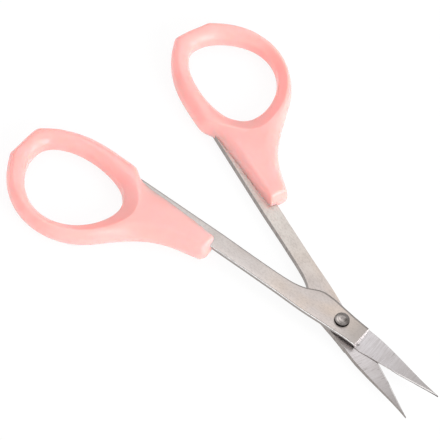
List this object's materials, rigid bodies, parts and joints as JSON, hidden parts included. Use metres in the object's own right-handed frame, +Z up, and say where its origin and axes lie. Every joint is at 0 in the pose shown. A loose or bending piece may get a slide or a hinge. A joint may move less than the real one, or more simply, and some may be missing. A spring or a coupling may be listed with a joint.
{
  "type": "eyebrow scissors",
  "caption": "Small eyebrow scissors with straight pointed steel blades on one rivet and pink moulded finger rings, lying partly open.",
  "frame": {"origin": "on the rivet's axis, at the centre of its flat tail on the underside", "axes": "+X along the bisector of the two halves, towards the tips; +Z up along the rivet's axis, towards its domed head; +Y to the side where the back half's finger ring lies"},
  "size_m": [0.1113, 0.0802, 0.006],
  "materials": {
    "pink_plastic": "gloss",
    "blade_steel": "satin",
    "rivet_steel": "satin"
  },
  "bodies": {
    "front_half": {"front_blade": "blade_steel", "front_handle": "pink_plastic", "pivot_rivet": "rivet_steel"},
    "back_half": {"back_blade": "blade_steel", "back_handle": "pink_plastic"}
  },
  "joints": [
    {"name": "blade_pivot", "type": "hinge", "parent": "front_half", "child": "back_half", "pos_m": [0, 0, 0.0026], "axis": [0, 0, 1], "range_deg": [-71, 19]}
  ]
}
